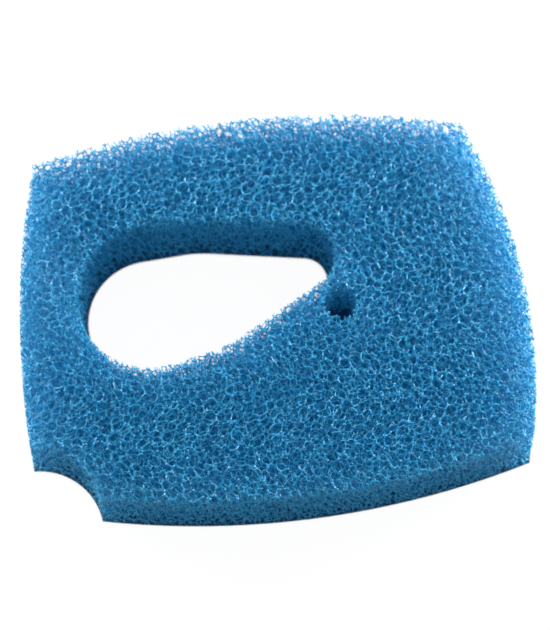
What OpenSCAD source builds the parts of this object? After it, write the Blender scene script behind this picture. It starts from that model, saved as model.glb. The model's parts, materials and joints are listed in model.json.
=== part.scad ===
// Slab of open-cell filter foam with a flared teardrop cut-out, a small
// round hole and a quarter-round corner notch.
// Millimetres. The origin is the middle of the slab's footprint on its
// underside: +X runs along the long side, +Y across it, +Z up through
// the thickness.

/* [Block] */
// Overall length along X, between the crowns of the two end sides
block_l = 253.5; // [230:0.5:280]
// Overall width along Y, between the crowns of the two long sides
block_w = 198.5; // [180:0.5:220]
// Thickness of the sheet the slab is cut from
block_t = 50; // [25:1:75]

/* [Bowed sides] */
// Bow radius of the left end
left_r = 452; // [300:2:600]
// Y of the left end's crown
left_crown = 3; // [-20:1:20]
// Bow radius of the right end
right_r = 265; // [240:1:500]
// Y of the right end's crown
right_crown = -38; // [-45:1:10]
// Bow radius of the back long side
back_r = 452; // [350:1:700]
// X of the back side's crown
back_crown = 30; // [-30:1:40]
// Bow radius of the front long side
front_r = 437; // [350:1:700]
// X of the front side's crown
front_crown = -40; // [-45:1:30]

/* [Teardrop cut-out] */
// X of the belly circle's centre
belly_x = -62.5; // [-68:0.5:-56]
// Y of the belly circle's centre
belly_y = 5.5; // [-4:0.5:12]
// Radius of the belly circle, the wide end of the teardrop, at the top face
belly_r = 36.5; // [30:0.5:40]
// How much smaller the belly's radius is at the underside
belly_flare = 4.5; // [0:0.5:8]
// X of the shoulder circle's centre
shoulder_x = -38.5; // [-46:0.5:-34]
// Y of the shoulder circle's centre
shoulder_y = 10.5; // [4:0.5:16]
// Radius of the shoulder circle, which fills out the back side, at the top face
shoulder_r = 33; // [30:0.5:38]
// How much smaller the shoulder's radius is at the underside
shoulder_flare = 2; // [0:0.5:8]
// X of the tip circle's centre
tip_x = 13; // [8:0.5:14]
// Y of the tip circle's centre
tip_y = 27; // [26:0.5:34]
// Radius of the teardrop's rounded tip at the top face
tip_r = 16; // [10:0.5:16]
// How much smaller the tip's radius is at the underside
tip_flare = 4; // [0:0.5:8]

/* [Small round hole] */
// X of the hole's centre
pipe_x = 31; // [30.5:0.5:60]
// Y of the hole's centre
pipe_y = 3; // [-20:0.5:3]
// Diameter of the hole
pipe_d = 15.5; // [6:0.5:16]

/* [Corner notch] */
// How far the notch circle's centre lies in from the left end's crown
notch_in = 9; // [2:0.5:16]
// How far the notch circle's centre lies out past the front side's crown
notch_out = 4; // [-4:0.5:9]
// Radius of the notch
notch_r = 32; // [24:0.5:42]

/* [Hidden] */
foam_blue = [0.11, 0.42, 0.66];
// How far a cutter runs past each face
over = 5;
// Height of every cutter
cut_h = block_t + 2 * over;
// Facets round each of the teardrop's circles
tear_fn = 64;

left_c = [left_r - block_l / 2, left_crown];
right_c = [block_l / 2 - right_r, right_crown];
back_c = [back_crown, block_w / 2 - back_r];
front_c = [front_crown, front_r - block_w / 2];

notch_c = [notch_in - block_l / 2, -block_w / 2 - notch_out];

module disc(c, r, h) {
    translate([c[0], c[1], 0])
        cylinder(h = h, r = r, $fn = 360);
}

// Footprint bounded by four large arcs, one per side.
module bowed_slab() {
    intersection() {
        disc(left_c, left_r, block_t);
        disc(right_c, right_r, block_t);
        disc(back_c, back_r, block_t);
        disc(front_c, front_r, block_t);
    }
}

// Cone that has radius r at the top face and r - flare at the underside,
// and keeps its slope as it runs past both.
module flared(c, r, flare) {
    slope = flare / block_t;
    translate([c[0], c[1], 0])
        cylinder(
            h = cut_h,
            r1 = r - flare - slope * over,
            r2 = r + slope * over,
            $fn = tear_fn
        );
}

module teardrop() {
    hull() {
        flared([belly_x, belly_y], belly_r, belly_flare);
        flared([shoulder_x, shoulder_y], shoulder_r, shoulder_flare);
        flared([tip_x, tip_y], tip_r, tip_flare);
    }
}

module foam_block() {
    color(foam_blue)
        difference() {
            bowed_slab();
            translate([0, 0, -over]) {
                teardrop();
                disc([pipe_x, pipe_y], pipe_d / 2, cut_h);
                disc(notch_c, notch_r, cut_h);
            }
        }
}

foam_block();
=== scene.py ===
"""Coarse blue filter sponge.

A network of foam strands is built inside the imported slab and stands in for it, on a pale studio floor.
"""

import itertools
import json
import math

import bmesh
import bpy
import numpy as np
from mathutils import Matrix, Vector


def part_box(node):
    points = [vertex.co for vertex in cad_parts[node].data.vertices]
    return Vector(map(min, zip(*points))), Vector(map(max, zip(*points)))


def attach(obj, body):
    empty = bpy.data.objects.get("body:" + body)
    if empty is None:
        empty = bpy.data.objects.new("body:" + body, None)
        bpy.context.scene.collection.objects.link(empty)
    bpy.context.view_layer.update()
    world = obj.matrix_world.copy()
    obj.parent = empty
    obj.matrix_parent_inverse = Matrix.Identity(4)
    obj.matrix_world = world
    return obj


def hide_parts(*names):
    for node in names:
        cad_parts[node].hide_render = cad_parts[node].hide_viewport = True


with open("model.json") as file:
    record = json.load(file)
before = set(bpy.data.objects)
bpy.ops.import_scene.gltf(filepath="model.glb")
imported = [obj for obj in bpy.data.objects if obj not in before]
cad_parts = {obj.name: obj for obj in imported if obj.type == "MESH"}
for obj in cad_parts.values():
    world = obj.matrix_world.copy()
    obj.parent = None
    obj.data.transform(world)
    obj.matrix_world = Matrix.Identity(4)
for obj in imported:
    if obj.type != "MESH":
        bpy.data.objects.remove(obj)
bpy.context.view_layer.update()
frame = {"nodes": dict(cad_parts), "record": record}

MM = 0.001
NODE = "foam_block"
BODY = "root"

# How the outline is read from the CAD mesh, in millimetres
FACE_SLACK = 0.01  # corners this near a flat face's height lie on it
DECIMALS = 3  # to which corners' places are rounded, so that neighbours' match
GRID_STEP = 0.5
GRID_MARGIN = 6.0  # round the slab
TINY_SLOPE = 1e-9  # keeps a slope of nothing from being divided by
TINY_GAP = 1e-6  # does the same for a distance

# Foam grade, in millimetres
CELL_VOLUME = 90.0  # of one cell
CELL_SPREAD = 0.5  # share by which the cells' spacing differs
TILE_CELLS = 1100  # cells in the periodic tile that the foam is laid from
TILE_TURN = (0.53, 0.37, 0.71)  # radians about X, Y and Z, so that no face of the slab shows the tiles
WARP = 2.3  # how far the network wanders from its tiles
WARP_WAVES = ((1, 61.0), (2, 47.0), (0, 73.0))  # for X, Y and Z: the axis the wave runs along, its length
SEED = 7

# How the cells' centres are pushed apart
SEED_GAP = 0.675  # half the distance they aim to keep, as a share of their mean spacing
PUSH_ROUNDS = 36
PUSH = 0.35  # share of the missing distance that each of two cells moves in a round

# How the cells' corners are found
NEIGHBOURS = 42  # cells near enough to share a corner with any one cell
CORNER_REACH = 1.5  # how far a cell's corners may lie from its middle, as a share of the mean spacing
FLAT = 0.001  # cubic millimetres under which a cell and three neighbours count as lying in one plane
SLACK = 1e-6  # times the tile's side: how far two squared distances may differ and count as the same

# Knots and strands, in millimetres
EVEN_STEPS = 1  # rounds in which strands pull on their knots, which evens out their lengths
KNOT = 0.42  # from a knot's middle to each of its film corners, which also sets the strands' thickness
KNOT_SPREAD = 0.4  # share by which knots differ
WAIST = 0.62  # a strand's thickness at its middle, as a share of that at its ends
WAIST_DEPTH = 14.0  # strands deeper than this are out of sight, and go without a waist
LONGEST = 6.0  # no strand is longer
STUB = 0.02  # a knot this near the surface has no stub of strand beyond it
BLOCKS = (6, 5)  # pieces the network is split into, along X and Y

# Linear colours
STRAND_DARK = (0.02, 0.36, 0.70)
STRAND_LIGHT = (0.035, 0.48, 0.84)
STRAND_GLOW = (0.001, 0.02, 0.036)  # stands in for the light that strands pass on to those below
STRAND_ROUGHNESS = 0.25
STRAND_SHINE = 1.0
TINT_SCALE = 90.0  # of the noise that mixes the dark and the light colour, per metre
TINT_DETAIL = 3.0
TINT_RANGE = (0.3, 0.7)  # noise values at which the mix is all dark and all light
FLOOR_SIZE = 6.0  # metres
FLOOR_WHITE = 0.8
FLOOR_GLOW = 0.95
FLOOR_TRACE = 0.12
PAINTED_SHADE_BLUE = (0.02, 0.12, 0.25)  # painted shade: the floor under the slab is painted the deep blue of the light that the foam has dyed, the only light that reaches it
SHADE_GAP = 0.02  # millimetres from the slab down to the shaded floor, and again down to the glowing one
SHADE_SIDES = 64  # of the disc of shaded floor in the round hole

# Camera, in millimetres and degrees
ELEVATION = 74.0
DISTANCE = 2436.0
LENS = 284.0
SENSOR = 36.0
AIM = (-1.19, -4.8)  # where the view's axis meets the top face
FOCUS = (0.0, -50.0)  # the point on the top face that is sharpest
F_STOP = 7.0
SOFTNESS = 1.9  # pixels that each sample spreads over

# Lamps: name, metres from the slab's middle, size in metres, watts
LAMPS = (
    ("key", (0.42, 0.50, 0.55), 0.3, 0.8),
    ("back", (0.0, 1.0, 0.30), 0.8, 1.2),
    ("left", (-0.55, 0.26, 0.16), 0.3, 4.0),
    ("right", (0.55, 0.28, 0.125), 0.3, 6.6),
)
SKY = 0.39


def box_of_slab():
    """The slab's lowest and highest corners and its size, in millimetres."""
    low, high = (np.array(c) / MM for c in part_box(NODE))
    return low, high, high - low


LOW, HIGH, SIZE = box_of_slab()


# ---------------------------------------------------------------- outline

def outline_edges(height):
    """The edges round the CAD node's flat face at this height, holes included: rows of (start, end)."""
    mesh = frame["nodes"][NODE].data
    mesh.calc_loop_triangles()
    co = np.array([v.co for v in mesh.vertices]) / MM
    count = {}
    for tri in mesh.loop_triangles:
        p = co[list(tri.vertices)]
        if np.abs(p[:, 2] - height).max() > FACE_SLACK:
            continue
        keys = [tuple(np.round(q[:2], DECIMALS)) for q in p]
        for a, b in ((0, 1), (1, 2), (2, 0)):
            edge = frozenset((keys[a], keys[b]))
            if len(edge) == 2:
                count[edge] = count.get(edge, 0) + 1
    return np.array([sorted(e) for e, n in count.items() if n == 1])


class Outline:
    """Signed distance to the slab's walls, negative inside the foam, kept on a grid for each flat face."""

    def __init__(self):
        self.origin = LOW[:2] - GRID_MARGIN
        n = np.ceil((SIZE[:2] + 2 * GRID_MARGIN) / GRID_STEP).astype(int) + 1
        x = self.origin[0] + GRID_STEP * np.arange(n[0])
        y = self.origin[1] + GRID_STEP * np.arange(n[1])
        spots = np.meshgrid(x, y, indexing="ij")
        self.bottom = self.distances(outline_edges(LOW[2]), *spots)
        self.top = self.distances(outline_edges(HIGH[2]), *spots)

    @staticmethod
    def distances(edges, gx, gy):
        """Signed distance from each spot to the closed loops that the edges make."""
        best = np.full(gx.shape, np.inf)
        crossings = np.zeros(gx.shape, int)
        for (ax, ay), (bx, by) in edges:
            dx, dy = bx - ax, by - ay
            t = np.clip(((gx - ax) * dx + (gy - ay) * dy) / (dx * dx + dy * dy), 0, 1)
            best = np.minimum(best, (gx - ax - t * dx) ** 2 + (gy - ay - t * dy) ** 2)
            if ay != by:
                over = (gy > min(ay, by)) & (gy <= max(ay, by))
                crossings += over & (gx < ax + (gy - ay) * dx / dy)
        return np.sqrt(best) * np.where(crossings % 2, -1.0, 1.0)

    def __call__(self, p):
        """Distance at each point, by interpolation within both grids and between them."""
        u = (p[:, :2] - self.origin) / GRID_STEP
        limit = np.array(self.top.shape) - 2
        i, j = np.clip(np.floor(u).astype(int), 0, limit).T
        f, g = (u - np.stack([i, j], 1)).T
        rise = np.clip((p[:, 2] - LOW[2]) / SIZE[2], 0, 1)
        near, far, near_next, far_next = (
            (1 - rise) * self.bottom[a, b] + rise * self.top[a, b]
            for a, b in ((i, j), (i + 1, j), (i, j + 1), (i + 1, j + 1))
        )
        return (near * (1 - f) + far * f) * (1 - g) + (near_next * (1 - f) + far_next * f) * g


def slab_distance(p, outline):
    """Signed distance from points to the slab's surface: negative inside the foam."""
    faces = np.maximum(LOW[2] - p[:, 2], p[:, 2] - HIGH[2])
    return np.maximum(outline(p), faces)


def pulled_in(p, outline):
    """Points outside the slab, moved to its surface, so that its faces are cut flat."""
    p = p.copy()
    p[:, 2] = np.clip(p[:, 2], LOW[2], HIGH[2])
    out = outline(p)
    far = out > 0
    q = p[far]
    x, y = np.eye(3)[:2] * GRID_STEP / 2
    slope = np.stack([outline(q + x) - outline(q - x), outline(q + y) - outline(q - y)], 1)
    p[far, :2] -= out[far, None] * unit(slope + TINY_SLOPE)
    return p


# ---------------------------------------------------------------- one periodic tile of foam

def unit(v):
    return v / np.linalg.norm(v, axis=-1, keepdims=True)


def wrapped(d, side):
    """The shortest of each vector's periodic images."""
    return d - side * np.round(d / side)


def relaxed_seeds(rng, count, side):
    """Cell centres in a periodic cube, pushed apart until they're spaced like the bubbles of a foam."""
    p = rng.random((count, 3)).astype(np.float32) * side
    size = 1 + CELL_SPREAD * rng.uniform(-1, 1, count).astype(np.float32)
    reach = SEED_GAP * side / count ** (1 / 3) * (size[:, None] + size[None])
    for _ in range(PUSH_ROUNDS):
        d = wrapped(p[:, None] - p[None], side)
        r = np.sqrt((d * d).sum(2)) + TINY_GAP
        push = PUSH * np.clip(reach - r, 0, None) / r
        np.fill_diagonal(push, 0)
        p = (p + (d * push[:, :, None]).sum(1)) % side
    return p.astype(float)


def voronoi_corners(seeds, side):
    """Corners of the cells: (place, sorted four cells) for each point that has four nearest seeds.

    Each seed is put at the origin in turn. With any three neighbours it fixes a sphere, and the middle of
    the sphere is a corner if no seed lies inside.
    """
    d = wrapped(seeds[None] - seeds[:, None], side)
    order = np.argsort((d * d).sum(2), axis=1)[:, 1 : NEIGHBOURS + 1]
    a, b, c = np.array(list(itertools.combinations(range(NEIGHBOURS), 3))).T
    far = CORNER_REACH * side / len(seeds) ** (1 / 3)
    places, cells = [], []
    for s, ids in enumerate(order):
        q = d[s, ids]
        qq = (q * q).sum(1)
        cross = np.cross(q[:, None], q[None])
        span = 2 * (q[a] * cross[b, c]).sum(1)
        ok = np.abs(span) > FLAT
        ta, tb, tc = a[ok], b[ok], c[ok]
        x = qq[ta, None] * cross[tb, tc] + qq[tb, None] * cross[tc, ta] + qq[tc, None] * cross[ta, tb]
        x /= span[ok, None]
        ok = (x * x).sum(1) < far * far
        x, ta, tb, tc = x[ok], ta[ok], tb[ok], tc[ok]
        ok = (qq[None] - 2 * x @ q.T > -SLACK * side).all(1)
        places.append((x[ok] + seeds[s]) % side)
        cells.append(np.stack([np.full(ok.sum(), s), ids[ta[ok]], ids[tb[ok]], ids[tc[ok]]], 1))
    places = np.concatenate(places)
    cells = np.sort(np.concatenate(cells), axis=1)
    cells, first = np.unique(cells, axis=0, return_index=True)
    places = places[first]
    gap = (wrapped(seeds[None] - places[:, None], side) ** 2).sum(2)
    true = gap.min(1) > np.take_along_axis(gap, cells, 1).mean(1) - SLACK * side
    return places[true], cells[true]


def strands(cells):
    """Pairs of corners that share three cells.

    Returns the corner at both ends of each strand, and which of that corner's cells the strand leaves out.
    """
    n = len(cells)
    corner = np.repeat(np.arange(n), 4)
    slot = np.tile(np.arange(4), n)
    keep = np.array([[1, 2, 3], [0, 2, 3], [0, 1, 3], [0, 1, 2]])
    faces = cells[corner[:, None], keep[slot]]
    order = np.lexsort(faces.T[::-1])
    f = faces[order]
    same = (f[1:] == f[:-1]).all(1)
    same[1:] &= ~same[:-1]
    first = np.flatnonzero(same)
    ends = np.stack([order[first], order[first + 1]], 1)
    return corner[ends], slot[ends]


# A knot joins four cells. A film lies between two of them, and a strand between three, so a knot has six
# film corners and four strands. Strand k is the one that doesn't touch cell k.
FILMS = ((0, 1), (0, 2), (0, 3), (1, 2), (1, 3), (2, 3))
OTHER_CELLS = np.array([[k for k in range(4) if k not in f] for f in FILMS])
STRAND_FILMS = np.array([[i for i, f in enumerate(FILMS) if k not in f] for k in range(4)])
CELL_FILMS = np.array([[i for i, f in enumerate(FILMS) if k in f] for k in range(4)])


class Tile:
    """A periodic cube of foam: its knots, their strands and the way each knot's film corners point."""

    def __init__(self, rng):
        self.side = side = (TILE_CELLS * CELL_VOLUME) ** (1 / 3)
        knots, cells = voronoi_corners(relaxed_seeds(rng, TILE_CELLS, side), side)
        self.ends, self.slots = strands(cells)
        partner = np.repeat(np.arange(len(knots))[:, None], 4, axis=1)
        partner[self.ends[:, 0], self.slots[:, 0]] = self.ends[:, 1]
        partner[self.ends[:, 1], self.slots[:, 1]] = self.ends[:, 0]
        for _ in range(EVEN_STEPS):
            knots = (knots + 0.5 * wrapped(knots[partner] - knots[:, None], side).mean(1)) % side
        self.knots = knots
        way = wrapped(knots[partner] - knots[:, None], side)
        # A strand with no far end points away from the others
        lost = partner == np.arange(len(knots))[:, None]
        way = unit(np.where(lost[:, :, None], -way.sum(1, keepdims=True), way))
        self.film_way = unit(way[:, OTHER_CELLS[:, 0]] + way[:, OTHER_CELLS[:, 1]])
        self.half = KNOT * (1 + KNOT_SPREAD * rng.uniform(-1, 1, len(knots)))
        first, second = knots[self.ends[:, 0]], knots[self.ends[:, 1]]
        self.hop = -np.round((second - first) / side).astype(int)


# ---------------------------------------------------------------- the network in the slab

def warp(p):
    """A slow wander that varies the pores' size and hides the tiles' period."""
    out = p.copy()
    for axis, (along, wave) in enumerate(WARP_WAVES):
        out[:, axis] += WARP * np.sin(2 * np.pi * p[:, along] / wave + axis)
    return out


def tile_turn():
    """The rotation that skews the tiles to the slab."""
    turn = Matrix.Identity(3)
    for axis, angle in zip("XYZ", TILE_TURN):
        turn = turn @ Matrix.Rotation(angle, 3, axis)
    return np.array(turn)


def tiles_over_slab(side, turn):
    """The tiles that may reach the slab, in whole sides, and a function that gives a tile's index."""
    reach = int(np.linalg.norm(SIZE) / 2 / side) + 2
    span = np.arange(-reach, reach + 1)
    tiles = np.stack(np.meshgrid(span, span, span, indexing="ij"), -1).reshape(-1, 3)
    middle = (tiles + 0.5) * side @ turn.T
    gap = np.linalg.norm(np.maximum(np.abs(middle) - SIZE / 2, 0), axis=1)
    tiles = tiles[gap < LONGEST + math.sqrt(3) * (side / 2 + WARP)]
    number = np.full((2 * reach + 3,) * 3, -1)
    number[tuple((tiles + reach + 1).T)] = np.arange(len(tiles))
    return tiles, lambda spots: number[tuple((spots + reach + 1).T)]


def largest_group(count, a, b):
    """Which of the knots belong to the largest group that the links from a to b hold together."""
    group = np.arange(count)
    while (group[a] != group[b]).any():
        low = np.minimum(group[a], group[b])
        np.minimum.at(group, group[a], low)
        np.minimum.at(group, group[b], low)
        group = group[group]
    return group == np.bincount(group).argmax()


class Network:
    """The knots and strands of the foam that lie in the slab.

    A strand runs from knot a to knot b, and slot is its number at each. Knot a is inside the slab. Where b
    isn't, the strand is cut at the surface, and ring gives the row of cut_ring that it ends in. For other
    strands, ring is -1.
    """

    def __init__(self, tile, outline):
        turn = tile_turn()
        tiles, index_of = tiles_over_slab(tile.side, turn)
        count = len(tile.knots)
        p = (tile.knots[None] + tile.side * tiles[:, None]).reshape(-1, 3) @ turn.T + (LOW + HIGH) / 2
        p = warp(p)
        gap = slab_distance(p, outline)
        near = gap < LONGEST
        inside = gap < 0

        there = index_of((tiles[:, None] + tile.hop[None]).reshape(-1, 3))
        a = (np.arange(len(tiles))[:, None] * count + tile.ends[None, :, 0]).ravel()
        b = there * count + np.tile(tile.ends[:, 1], len(tiles))
        slot = np.tile(tile.slots, (len(tiles), 1))
        ok = (there >= 0) & near[a] & near[b] & (inside[a] | inside[b])
        a, b, slot = a[ok], b[ok], slot[ok]
        flip = ~inside[a]
        a[flip], b[flip] = b[flip], a[flip].copy()
        slot[flip] = slot[flip, ::-1]

        both = inside[a] & inside[b]
        ok = largest_group(len(p), a[both], b[both])[a]  # loose crumbs are left out
        a, b, slot = a[ok], b[ok], slot[ok]

        names, index = np.unique(np.concatenate([a, b]), return_inverse=True)
        self.a, self.b, self.slot = index[: len(a)], index[len(a):], slot
        self.place = p[names]
        self.inside = inside[names]
        self.depth = -gap[names]
        kind = names % count
        self.corner = self.place[:, None] + tile.half[kind, None, None] * (tile.film_way[kind] @ turn.T)
        self.cut(outline)

    def cut(self, outline):
        """Ends strands that leave the slab at its surface. Those whose knot reaches it are left out."""
        going = np.flatnonzero(~self.inside[self.b])
        start = self.corner[self.a[going, None], STRAND_FILMS[self.slot[going, 0]]]
        end = self.corner[self.b[going, None], STRAND_FILMS[self.slot[going, 1]]]
        s = slab_distance(start.reshape(-1, 3), outline).reshape(-1, 3)
        e = slab_distance(end.reshape(-1, 3), outline).reshape(-1, 3)
        stub = s.max(1) > -STUB
        t = np.clip(s / np.minimum(s - e, -TINY_GAP), 0, 1)
        ring = start + t[:, :, None] * (end - start)
        middle = ring.mean(1, keepdims=True)
        slim = 1 - (1 - WAIST) * (1 - np.abs(2 * t.mean(1) - 1))
        ring = middle + slim[:, None, None] * (ring - middle)
        self.cut_ring = pulled_in(ring[~stub].reshape(-1, 3), outline).reshape(-1, 3, 3)
        self.corner = pulled_in(self.corner.reshape(-1, 3), outline).reshape(-1, 6, 3)

        keep = np.ones(len(self.a), bool)
        keep[going[stub]] = False
        row = np.full(len(self.a), -1)
        row[going[~stub]] = np.arange((~stub).sum())
        self.a, self.b, self.slot, self.ring = self.a[keep], self.b[keep], self.slot[keep], row[keep]


# ---------------------------------------------------------------- meshes

def mesh_object(name, points, faces):
    """A smooth-shaded object from points in millimetres and faces of one size."""
    mesh = bpy.data.meshes.new(name)
    mesh.vertices.add(len(points))
    mesh.vertices.foreach_set("co", (points * MM).astype(np.float32).ravel())
    mesh.loops.add(faces.size)
    mesh.loops.foreach_set("vertex_index", faces.astype(np.int32).ravel())
    mesh.polygons.add(len(faces))
    mesh.polygons.foreach_set("loop_start", np.arange(0, faces.size, faces.shape[1], dtype=np.int32))
    mesh.update(calc_edges=True)
    obj = bpy.data.objects.new(name, mesh)
    bpy.context.scene.collection.objects.link(obj)
    flat_map(mesh, points)
    return obj


def flat_map(mesh, points):
    """A plan-view UV map, enough for colours that vary only along the slab."""
    low, high = points[:, :2].min(0), points[:, :2].max(0)
    index = np.empty(len(mesh.loops), np.int32)
    mesh.loops.foreach_get("vertex_index", index)
    uv = (points[index, :2] - low) / (high - low)
    mesh.uv_layers.new(name="OFBake").uv.foreach_set("vector", uv.astype(np.float32).ravel())


def facing(points, triangles, outward):
    """Triangles turned so that their normals follow outward."""
    p = points[triangles]
    normal = np.cross(p[:, 1] - p[:, 0], p[:, 2] - p[:, 0])
    back = (normal * outward).sum(1) < 0
    triangles = triangles.copy()
    triangles[back] = triangles[back][:, ::-1]
    return triangles


def walls(start, end):
    """The triangles round strands that run from one ring of three points to another."""
    made = []
    for i, j in ((0, 1), (1, 2), (2, 0)):
        made.append(np.stack([start[:, i], start[:, j], end[:, j]], 1))
        made.append(np.stack([start[:, i], end[:, j], end[:, i]], 1))
    return made


def knot_faces(points, middles, joined):
    """The faces of knots, whose corners come first in points: one for each cell and each free strand."""
    base = 6 * np.arange(len(middles))[:, None, None]
    sides = (base + CELL_FILMS).reshape(-1, 3)
    caps = (base + STRAND_FILMS)[~joined]
    faces = np.concatenate([sides, caps])
    return facing(points, faces, points[faces].mean(1) - middles[faces[:, 0] // 6])


def network_piece(name, net, own, mine):
    """A closed mesh of the knots in own and the strands in mine, which start at those knots."""
    local = np.full(len(net.place), -1)
    local[own] = np.arange(len(own))
    a, b, slot, ring = net.a[mine], net.b[mine], net.slot[mine], net.ring[mine]

    # A strand that's cut, or ends at a knot of another piece, gets an end ring of its own
    start = 6 * local[a, None] + STRAND_FILMS[slot[:, 0]]
    end = 6 * local[b, None] + STRAND_FILMS[slot[:, 1]]
    leaves = (ring >= 0) | (local[b] < 0)
    end[leaves] = 6 * len(own) + np.arange(3 * leaves.sum()).reshape(-1, 3)
    loose = net.corner[b[leaves, None], STRAND_FILMS[slot[leaves, 1]]]
    cut = ring[leaves] >= 0
    loose[cut] = net.cut_ring[ring[leaves][cut]]
    points = np.concatenate([net.corner[own].reshape(-1, 3), loose.reshape(-1, 3)])

    p = points[start]
    normal = np.cross(p[:, 1] - p[:, 0], p[:, 2] - p[:, 0])
    swap = (normal * (points[end].mean(1) - p.mean(1))).sum(1) < 0
    start[swap] = start[swap][:, ::-1]
    end[swap] = end[swap][:, ::-1]

    slim = (ring < 0) & (net.depth[a] < WAIST_DEPTH)
    waist = (points[start[slim]] + points[end[slim]]) / 2
    middle = waist.mean(1, keepdims=True)
    waist = middle + WAIST * (waist - middle)
    at = len(points) + np.arange(3 * len(waist)).reshape(-1, 3)
    points = np.concatenate([points, waist.reshape(-1, 3)])

    joined = np.zeros((len(own), 4), bool)
    joined[local[a], slot[:, 0]] = True
    joined[local[b[~leaves]], slot[~leaves, 1]] = True
    faces = [
        end[leaves],
        *walls(start[~slim], end[~slim]),
        *walls(start[slim], at),
        *walls(at, end[slim]),
        knot_faces(points, net.corner[own].mean(1), joined),
    ]
    return mesh_object(name, points, np.concatenate(faces))


def network_pieces(net):
    """The network in one closed mesh for each block of the slab."""
    blocks = np.array(BLOCKS)
    spot = np.clip(((net.place[:, :2] - LOW[:2]) / SIZE[:2] * blocks).astype(int), 0, blocks - 1)
    block = np.where(net.inside, spot[:, 0] * BLOCKS[1] + spot[:, 1], -1)
    alive = np.zeros(len(net.place), bool)
    alive[net.a] = True
    alive[net.b] = True
    made = []
    for n in range(BLOCKS[0] * BLOCKS[1]):
        own = np.flatnonzero((block == n) & alive)
        if len(own):
            name = f"foam_{n // BLOCKS[1] + 1}_{n % BLOCKS[1] + 1}"
            made.append(network_piece(name, net, own, np.flatnonzero(block[net.a] == n)))
    return made


# ---------------------------------------------------------------- materials

def grey(value):
    return (value, value, value, 1)


def nodes_of(name):
    """A new material, its node tree and its main shader."""
    material = bpy.data.materials.new(name)
    material.use_nodes = True
    tree = material.node_tree
    return material, tree, tree.nodes["Principled BSDF"]


def noise(tree, scale, detail):
    """A noise in the part's own metres. Returns its value socket."""
    place = tree.nodes.new("ShaderNodeTexCoord")
    texture = tree.nodes.new("ShaderNodeTexNoise")
    texture.inputs["Scale"].default_value = scale
    texture.inputs["Detail"].default_value = detail
    tree.links.new(place.outputs["Object"], texture.inputs["Vector"])
    return texture.outputs["Fac"]


def blended(tree, factor, low, high):
    """A colour that goes from low to high with a value."""
    ramp = tree.nodes.new("ShaderNodeValToRGB")
    for stop, spot, colour in zip(ramp.color_ramp.elements, TINT_RANGE, (low, high)):
        stop.position = spot
        stop.color = (*colour, 1)
    tree.links.new(factor, ramp.inputs["Fac"])
    return ramp.outputs["Color"]


def strand_material():
    material, tree, shader = nodes_of("foam_blue")
    colour = blended(tree, noise(tree, TINT_SCALE, TINT_DETAIL), STRAND_DARK, STRAND_LIGHT)
    tree.links.new(colour, shader.inputs["Base Color"])
    shader.inputs["Roughness"].default_value = STRAND_ROUGHNESS
    shader.inputs["Specular IOR Level"].default_value = STRAND_SHINE
    shader.inputs["Emission Color"].default_value = (*STRAND_GLOW, 1)
    shader.inputs["Emission Strength"].default_value = 1
    return material


# ---------------------------------------------------------------- stage

def seen_as(tree, seen, lit):
    """A shader that the camera sees as one thing and light meets as another."""
    path = tree.nodes.new("ShaderNodeLightPath")
    mix = tree.nodes.new("ShaderNodeMixShader")
    tree.links.new(path.outputs["Is Camera Ray"], mix.inputs["Fac"])
    tree.links.new(lit, mix.inputs[1])
    tree.links.new(seen, mix.inputs[2])
    return mix.outputs["Shader"]


def floor_material():
    """White that glows enough to lose all but a trace of the shadow on it, as a light table does."""
    material, tree, shader = nodes_of("floor_white")
    tree.nodes.remove(shader)
    glow = tree.nodes.new("ShaderNodeEmission")
    glow.inputs["Strength"].default_value = FLOOR_GLOW
    trace = tree.nodes.new("ShaderNodeBsdfDiffuse")
    trace.inputs["Color"].default_value = grey(FLOOR_TRACE)
    both = tree.nodes.new("ShaderNodeAddShader")
    tree.links.new(glow.outputs[0], both.inputs[0])
    tree.links.new(trace.outputs[0], both.inputs[1])
    paint = tree.nodes.new("ShaderNodeBsdfDiffuse")
    paint.inputs["Color"].default_value = grey(FLOOR_WHITE)
    surface = tree.nodes["Material Output"].inputs["Surface"]
    tree.links.new(seen_as(tree, both.outputs[0], paint.outputs[0]), surface)
    return material


def floor():
    bpy.ops.mesh.primitive_plane_add(size=FLOOR_SIZE, location=(0, 0, (LOW[2] - 2 * SHADE_GAP) * MM))
    plane = bpy.context.object
    plane.name = "floor"
    plane.data.materials.append(floor_material())


def painted_shade_floor():
    """The floor under the slab and in its round hole, which doesn't glow and so doesn't light the foam.
    Its deep blue is painted shade.
    """
    mesh = bmesh.new()
    mesh.from_mesh(frame["nodes"][NODE].data)
    half_way = (LOW[2] + HIGH[2]) / 2 * MM
    bmesh.ops.delete(mesh, geom=[v for v in mesh.verts if v.co.z > half_way], context="VERTS")
    hole = next(m for m in frame["record"]["mounts"] if m["kind"] == "bore")
    radius = hole["dims"]["r_mm"] * MM
    at = Matrix.Translation((*hole["pos_m"][:2], LOW[2] * MM))
    bmesh.ops.create_circle(mesh, cap_ends=True, segments=SHADE_SIDES, radius=radius, matrix=at)
    data = bpy.data.meshes.new("painted_shade_floor")
    mesh.to_mesh(data)
    mesh.free()
    data.transform(Matrix.Translation((0, 0, -SHADE_GAP * MM)))
    patch = bpy.data.objects.new("painted_shade_floor", data)
    bpy.context.scene.collection.objects.link(patch)
    material, _, shader = nodes_of("floor_painted_shade")
    # painted shade: the floor in the slab's shadow is coloured deep blue
    shader.inputs["Base Color"].default_value = (*PAINTED_SHADE_BLUE, 1)
    shader.inputs["Roughness"].default_value = 1
    patch.data.materials.clear()
    patch.data.materials.append(material)


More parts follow.
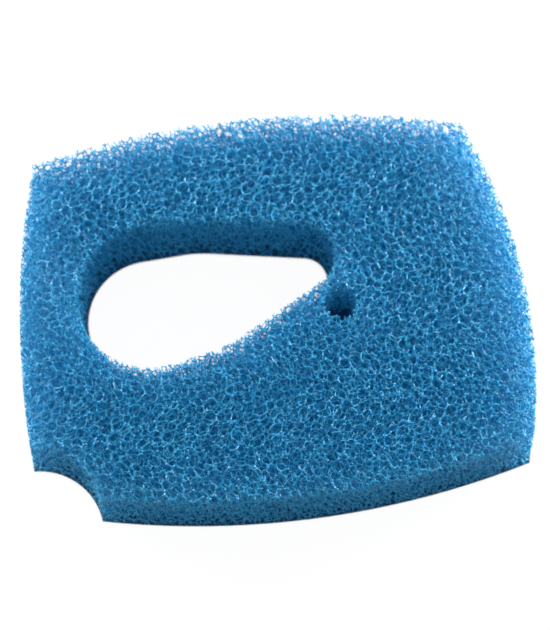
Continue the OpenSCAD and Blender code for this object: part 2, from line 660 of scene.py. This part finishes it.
def area_light(name, place, target, size, watts):
    data = bpy.data.lights.new(name, "AREA")
    data.size = size
    data.energy = watts
    lamp = bpy.data.objects.new(name, data)
    lamp.location = place
    lamp.rotation_euler = (Vector(target) - Vector(place)).to_track_quat("-Z", "Y").to_euler()
    bpy.context.scene.collection.objects.link(lamp)


def lights():
    """A soft lamp high over the back right, low ones behind and at both ends, and a dim sky."""
    centre = Vector((LOW + HIGH) / 2 * MM)
    for name, place, size, watts in LAMPS:
        area_light(name, centre + Vector(place), centre, size, watts)
    world = bpy.data.worlds.new("studio")
    world.use_nodes = True
    tree = world.node_tree
    sky = tree.nodes["Background"]
    sky.inputs["Color"].default_value = grey(1)
    sky.inputs["Strength"].default_value = SKY
    backdrop = tree.nodes.new("ShaderNodeBackground")
    backdrop.inputs["Color"].default_value = grey(1)
    surface = tree.nodes["World Output"].inputs["Surface"]
    tree.links.new(seen_as(tree, backdrop.outputs[0], sky.outputs[0]), surface)
    bpy.context.scene.world = world


def camera():
    """A long lens, steeply above the front, with a little blur towards the back."""
    data = bpy.data.cameras.new("camera")
    data.lens = LENS
    data.sensor_width = SENSOR
    focus = bpy.data.objects.new("focus", None)
    focus.location = Vector((*FOCUS, HIGH[2])) * MM
    bpy.context.scene.collection.objects.link(focus)
    data.dof.use_dof = True
    data.dof.focus_object = focus
    data.dof.aperture_fstop = F_STOP
    cam = bpy.data.objects.new("camera", data)
    rise = math.radians(ELEVATION)
    back = Vector((0, -math.cos(rise), math.sin(rise)))
    aim = Vector((*AIM, HIGH[2])) * MM
    cam.location = aim + back * DISTANCE * MM
    cam.rotation_euler = (-back).to_track_quat("-Z", "Y").to_euler()
    bpy.context.scene.collection.objects.link(cam)
    bpy.context.scene.camera = cam


# ---------------------------------------------------------------- build

outline = Outline()
net = Network(Tile(np.random.default_rng(SEED)), outline)
strand = strand_material()
for piece in network_pieces(net):
    piece.data.materials.append(strand)
    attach(piece, BODY)
    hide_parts(NODE)
floor()
painted_shade_floor()
lights()
camera()
bpy.context.scene.view_settings.view_transform = "Standard"
bpy.context.scene.cycles.filter_width = SOFTNESS
